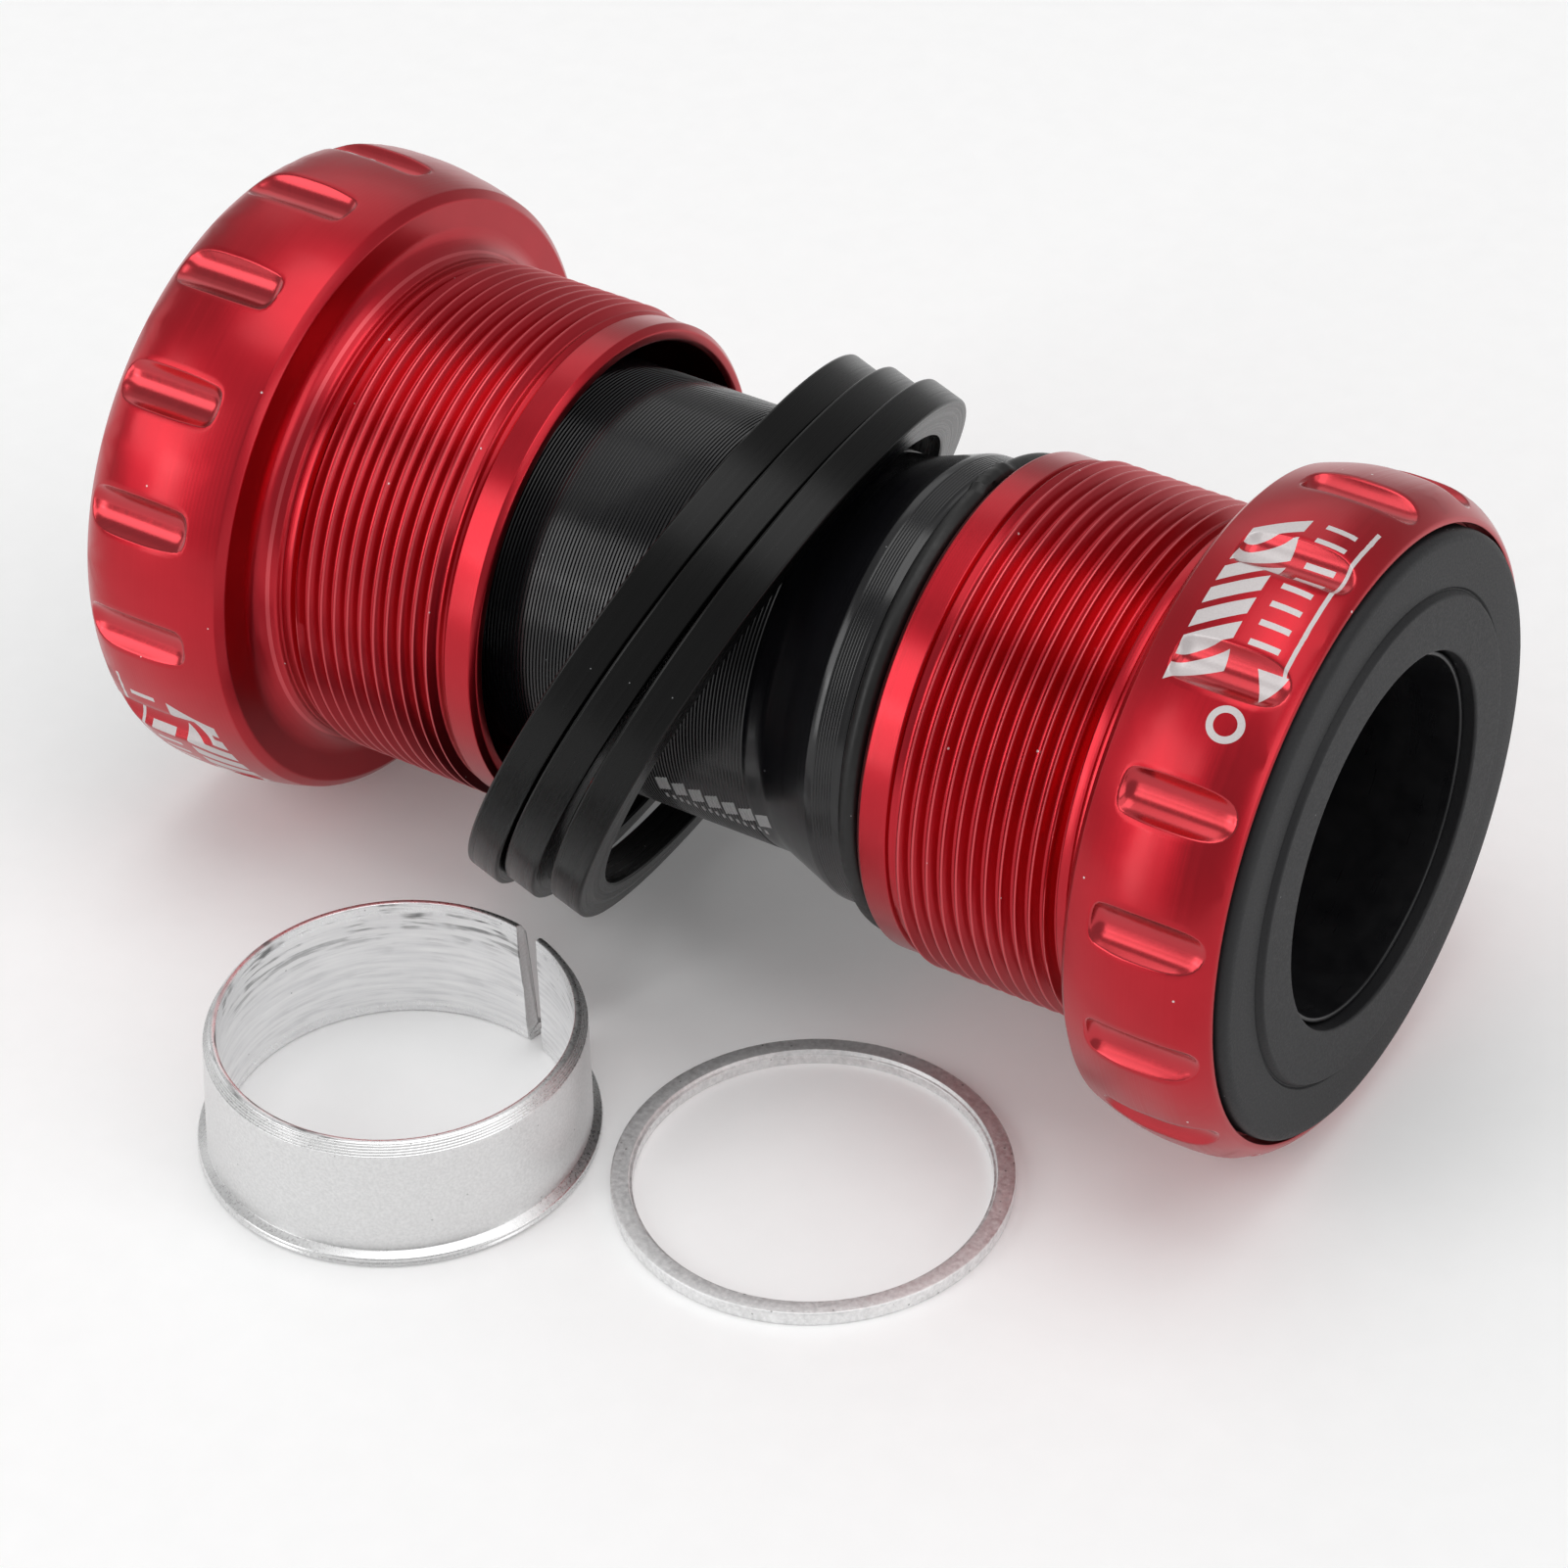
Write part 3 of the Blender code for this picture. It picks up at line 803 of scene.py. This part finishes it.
def add_cover(prefix, side, end_x, extra, materials):
    corners = [(26.3, 20.25), (28.3, 20.25, 0.7), (28.35, 18.3, 0.2), (28.35, 16.62, 0.05)]
    corners += [(28.2, 16.5, 0.05), (28.2, 16.42, 0.05), (28.72, 16.15, 0.14), (28.75, 12.55, 0.22)]
    corners += [(25.9, 12.6), (25.9, 14.1), (26.3, 14.1)]
    corners = [(corner[0] + extra, *corner[1:]) for corner in corners]
    add_on_axis(prefix + "_cover_moulded", corners, side, end_x, materials["cover"],
                prefix + "_spindle_side", [prefix + "_dust_cover"])


def add_bushing(prefix, side, end_x, extra, materials):
    outer_u = 27.9 + extra
    corners = [(17.7, 12.0, 0.15), (outer_u, 12.0, 0.2), (outer_u, 12.32, 0.1)]
    corners += [(18.3, 12.32), (18.3, 13.6), (17.7, 13.6)]
    add_on_axis(prefix + "_bushing_moulded", corners, side, end_x, materials["bushing"],
                prefix + "_spindle_side", [prefix + "_bushing"])


def race_corners(low_u, high_u, back_r, land_r, groove_r):
    """Ring with a round rolling groove facing the balls."""
    middle = (low_u + high_u) / 2
    corners = [(low_u, back_r, 0.3), (high_u, back_r, 0.3), (high_u, land_r, 0.15)]
    for i in range(9):
        angle = math.pi * i / 8
        depth = (groove_r - land_r) * math.sin(angle)
        corners.append((middle + RACE_GROOVE_REACH * math.cos(angle), land_r + depth, 0.02))
    corners.append((low_u, land_r, 0.15))
    return corners


def ball_set(centre_u, side):
    """Smooth balls in a ring, as one mesh."""
    ball = bmesh.new()
    bmesh.ops.create_icosphere(ball, subdivisions=4, radius=BALL_R)
    points = [v.co.copy() for v in ball.verts]
    corners = [tuple(v.index for v in f.verts) for f in ball.faces]
    ball.free()
    parts = []
    for n in range(BALLS):
        centre = about_x(side * centre_u, BALL_CIRCLE_R, 2 * math.pi * n / BALLS + math.pi / 2)
        parts.append(([centre + p for p in points], corners))
    return joined(*parts)


def ribbon_cage(centre_u, side):
    """Two wavy ribbons that meet between the balls and bow out round them."""
    spacing = 2 * math.pi / BALLS
    steps = 8 * BALLS
    near, far = CAGE_RIBBON
    inner, outer = CAGE_R
    parts = []
    for half in (1, -1):
        vertices = []
        for i in range(steps):
            angle = 2 * math.pi * i / steps
            away = abs(angle - round(angle / spacing) * spacing) * BALL_CIRCLE_R
            bow = math.sqrt(max(0.0, (BALL_R + CAGE_GAP) ** 2 - away ** 2))
            for offset, radius in ((near, inner), (far, inner), (far, outer), (near, outer)):
                along = side * centre_u + half * (bow + offset)
                vertices.append(about_x(along, radius, angle + math.pi / 2))
        faces = []
        for i in range(steps):
            here = 4 * i
            there = 4 * ((i + 1) % steps)
            for j in range(4):
                k = (j + 1) % 4
                faces.append((here + j, here + k, there + k, there + j))
        parts.append((vertices, faces))
    return joined(*parts)


def add_bearing(prefix, side, end_x, materials):
    shell = prefix + "_cup_shell"
    spindle = prefix + "_spindle_side"
    set_body = prefix + "_ball_set"
    low, high = box_mm(prefix + "_inner_race")
    low_u, high_u = sorted((side * (low.x - end_x), side * (high.x - end_x)))
    centre_u = (low_u + high_u) / 2
    outer = race_corners(low_u, high_u, *OUTER_RACE_R)
    add_on_axis(prefix + "_outer_race_ground", outer, side, end_x, materials["race"], shell,
                [prefix + "_outer_race"], 0.05)
    inner = race_corners(low_u, high_u, *INNER_RACE_R)
    add_on_axis(prefix + "_inner_race_ground", inner, side, end_x, materials["race"], spindle,
                [prefix + "_inner_race"], 0.05)
    for part, offset, out in (("_inboard_seal", -3.25, -1), ("_outboard_seal", 2.9, 1)):
        u = centre_u + offset
        back, front = (u + SEAL_THICKNESS, u) if out < 0 else (u, u + SEAL_THICKNESS)
        dished = front - 0.12 * out
        corners = [(back, 16.4), (back, 14.6), (front, 14.6), (front, 14.85), (dished, 14.95)]
        corners += [(dished, 15.9), (front, 16.0), (front, 16.4)]
        add_on_axis(prefix + part + "_lipped", corners, side, end_x, materials["seal"], shell,
                    [prefix + part], 0.04)
    origin = (end_x, AXIS.y, AXIS.z)
    balls = [f"{prefix}_ball_{n + 1:02d}" for n in range(BALLS)]
    make_piece(prefix + "_balls_polished", ball_set(centre_u, side), materials["ball"], set_body,
               balls, origin)
    make_piece(prefix + "_cage_ribbons", ribbon_cage(centre_u, side), materials["cage"], set_body,
               [prefix + "_cage"], origin)


# Sleeve, O-rings and spacers

def grooves(low, high, radius, pitch, depth):
    """Corners of fine turned grooves between two places on a cylinder."""
    corners = []
    for n in range(int((high - low) / pitch)):
        x = low + n * pitch
        corners += [(x, radius, 0), (x + 0.5 * pitch, radius, 0), (x + 0.75 * pitch, radius - depth, 0)]
    return corners


def add_sleeve(material):
    left = SLEEVE_LOW.x - MIDDLE_X
    right = SLEEVE_HIGH.x - MIDDLE_X
    corners = [(left, SLEEVE_BORE_R), (left, 13.4), (left + 0.4, SLEEVE_R), (-24.9, SLEEVE_R)]
    corners += [(-24.9, 13.05), (-22.3, 13.05), (-22.3, SLEEVE_R)]
    corners += grooves(-21.5, 4.3, SLEEVE_R, GROOVE_PITCH, GROOVE_DEPTH)
    corners += [(4.5, SLEEVE_R), (5.5, SLEEVE_R, 0.5), (10.0, 15.4, 0.3)]
    corners += grooves(10.4, 12.1, 15.4, COLLAR_GROOVE_PITCH, 0.5 * GROOVE_DEPTH)
    corners += [(12.5, 15.4, 0.25), (12.5, 14.6)]
    corners += [(right - 0.3, 14.6), (right, 14.3), (right, SLEEVE_BORE_R)]
    make_piece("center_sleeve_turned", turned(rounded(corners, 0.12, 2), 128), material, "sleeve",
               ["center_sleeve"], (MIDDLE_X, AXIS.y, AXIS.z))


def add_oring(name, material):
    """Round cord with the thin parting ridge of its mould, and the torn nib where one was cut off."""
    x, ring_r, cord_r, nib_deg = ORINGS[name]
    points = []
    for i in range(24):
        angle = 2 * math.pi * i / 24
        ridge = 1.03 if i in (0, 12) else 1.0
        points.append((cord_r * ridge * math.sin(angle), cord_r * ridge * math.cos(angle)))
    jagged = random.Random(7)
    columns = 256
    swell = [0.0] * columns
    if nib_deg is not None:
        for step in range(-4, 5):
            swell[(round(nib_deg / 360 * columns) + step) % columns] = 0.2 + 0.25 * jagged.random()

    def place(along, across, angle):
        grow = swell[round(angle / (2 * math.pi) * columns) % columns]
        out = across + (grow if across > 0.6 * cord_r else 0.0)
        return about_x(x + along, ring_r + out, angle)

    make_piece(name + "_moulded", turned(points, columns, place), material, "sleeve",
               [name], (MIDDLE_X, AXIS.y, AXIS.z))


def add_spacers(material):
    half = SPACER_THICKNESS / 2
    inner, outer = SPACER_R
    corners = [(-half, inner, 0.16), (half, inner, 0.16), (half, outer, 0.22), (-half, outer, 0.22)]
    shape = turned(rounded(corners), 192)
    for number, (name, (face_x, lean_deg)) in enumerate(SPACERS.items(), 1):
        lean = math.radians(lean_deg)
        centre = middle_mm(name)
        make_piece(name + "_turned", shape, material, f"spacer_ring_{number}",
                   [name], centre, (0, lean, math.radians(SPACER_YAW_DEG)))


# Loose pieces

def add_adapter(material):
    """Split sleeve whose slit leans and was cut with a rough saw."""
    centre = middle_mm("adapter_sleeve")
    corners = [(0.2, 11.62), (0.0, 11.75), (0.0, 13.0, 0.15), (0.22, 13.28, 0.12), (0.42, 13.14, 0.05)]
    corners += [(0.55, 13.26, 0.05), (0.72, 13.24, 0.1), (0.95, 12.6, 0.08), (1.1, 12.64, 0.05)]
    corners += [(2.0, 12.62), (4.5, 12.56), (6.5, 12.5), (ADAPTER_CHAMFER_Z, 12.44, 0.1)]
    z = 8.62
    radius = 12.42
    while z < 9.3:
        corners += [(z, radius, 0.02), (z + 0.1, radius - 0.01, 0.02), (z + 0.13, radius - 0.1, 0.02)]
        z += 0.16
        radius -= 0.085
    corners += [(9.42, 12.0, 0.1), (ADAPTER_HEIGHT, 11.85, 0.08), (ADAPTER_HEIGHT, 11.55, 0.08)]
    corners += [(7.0, 11.55), (4.5, 11.6), (2.0, 11.6)]
    outline = rounded(corners, 0.08, 2)
    saw = random.Random(11)
    rough = {}
    for z, radius in outline:
        rough[(round(z, 4), round(radius, 4))] = (saw.uniform(-0.35, 0.35), saw.uniform(-0.35, 0.35))

    def place(z, radius, share):
        high = z / ADAPTER_HEIGHT
        half_slit = 3.6 + 1.2 * high
        turn = ADAPTER_SLIT_DEG - 2.7 * (1 - high) + half_slit + (360 - 2 * half_slit) * share
        if share in (0.0, 1.0):
            turn += rough[(round(z, 4), round(radius, 4))][int(share)]
        return about_z(z, radius, math.radians(turn)) + Vector(ADAPTER_LEAN) * high

    make_piece("adapter_sleeve_turned", turned(outline, RING_COLUMNS, place, sweep=1.0), material,
               "loose_adapter", ["adapter_sleeve"], (centre.x, centre.y, 0))


def add_washer(material):
    centre = middle_mm("shim_washer")
    corners = [(0.0, 11.65), (0.0, 13.05, 0.1), (1.0, 13.05, 0.12), (1.0, 11.9, 0.05)]
    corners += [(0.78, 11.82, 0.05), (0.74, 11.65, 0.06)]
    shape = turned(rounded(corners, 0.06), 192, about_z)
    make_piece("shim_washer_turned", shape, material, "loose_washer", ["shim_washer"],
               (centre.x, centre.y, 0))


# Stage

def add_floor():
    graph = Graph("pale_floor")
    place = graph.add("ShaderNodeTexCoord").outputs["Object"]
    paper = graph.noise(place, 2.0, 0.5, 400.0)
    graph.set(Base_Color=graph.mix(paper, grey(0.86), grey(0.90)), Roughness=0.9,
              Specular_IOR_Level=0.1, Emission_Color=grey(1.0), Emission_Strength=0.1)
    mesh = bpy.data.meshes.new("floor")
    corners = []
    for x, y in ((-1, -1), (1, -1), (1, 1), (-1, 1)):
        corners.append((x * FLOOR_REACH, y * FLOOR_REACH, FLOOR_Z))
    mesh.from_pydata(corners, [], [(0, 1, 2, 3)])
    mesh.materials.append(graph.material)
    floor = bpy.data.objects.new("floor", mesh)
    bpy.context.scene.collection.objects.link(floor)


def add_light(name, place, sides, power):
    light = bpy.data.lights.new(name, "AREA")
    light.shape = "RECTANGLE"
    light.size, light.size_y = sides
    light.energy = power
    lamp = bpy.data.objects.new(name, light)
    lamp.location = place
    lamp.rotation_euler = (-Vector(place)).to_track_quat("-Z", "Y").to_euler()
    lamp.visible_camera = False
    bpy.context.scene.collection.objects.link(lamp)


def add_studio():
    for name, direction, sides, power in SOFTBOXES:
        add_light(name, Vector(direction).normalized() * SOFTBOX_DISTANCE, sides, power)
    world = bpy.data.worlds.new("studio")
    world.use_nodes = True
    background = world.node_tree.nodes["Background"]
    background.inputs["Color"].default_value = grey(1.0)
    background.inputs["Strength"].default_value = ROOM_LIGHT
    bpy.context.scene.world = world
    bpy.context.scene.view_settings.view_transform = "Standard"


def add_camera():
    data = bpy.data.cameras.new("camera")
    data.lens = CAMERA_LENS
    data.sensor_width = 36.0
    data.clip_start = 0.01
    data.clip_end = 10.0
    camera = bpy.data.objects.new("camera", data)
    turn = (Matrix.Rotation(math.radians(CAMERA_AZIMUTH), 4, "Z")
            @ Matrix.Rotation(math.radians(90.0 - CAMERA_ELEVATION), 4, "X")
            @ Matrix.Rotation(math.radians(CAMERA_ROLL), 4, "Z"))
    back = turn @ Vector((0, 0, 1))
    spot = (Vector(CAMERA_AIM) + back * CAMERA_DISTANCE) * MM
    camera.matrix_world = Matrix.Translation(spot) @ turn
    bpy.context.scene.collection.objects.link(camera)
    bpy.context.scene.camera = camera


def build():
    materials = {
        "cover": matte_rubber("cover_rubber_grain", (0.009, 0.009, 0.0105), 0.58, 6.0),
        "bushing": gloss_plastic("bushing_gloss"),
        "race": steel("race_ground_steel", 0.16, 12.0),
        "ball": steel("ball_polished_steel", 0.05, 2.0),
        "cage": nylon("cage_nylon_grain"),
        "seal": matte_rubber("seal_rubber_grain", (0.05, 0.03, 0.03), 0.55, 4.0),
    }
    for prefix, (side, end_x) in CUP_ENDS.items():
        extra = add_cup(prefix, side, end_x)
        add_cover(prefix, side, end_x, extra, materials)
        add_bushing(prefix, side, end_x, extra, materials)
        add_bearing(prefix, side, end_x, materials)
    add_sleeve(black_metal("sleeve_black_anodised", "X", 6.0, 0.20, (0.004, 0.004, 0.005), 0.5,
                           SLEEVE_MARKS))
    oring = matte_rubber("oring_rubber_smooth", (0.006, 0.006, 0.006), 0.42, 2.0)
    for name in ORINGS:
        add_oring(name, oring)
    add_spacers(black_metal("spacer_black_anodised", "X", 5.0, 0.28, (0.002, 0.002, 0.002), 0.22))
    add_adapter(adapter_aluminium("adapter_bare_aluminium"))
    add_washer(washer_aluminium("washer_bare_aluminium"))
    add_floor()
    add_studio()
    add_camera()


build()
bpy.context.view_layer.update()
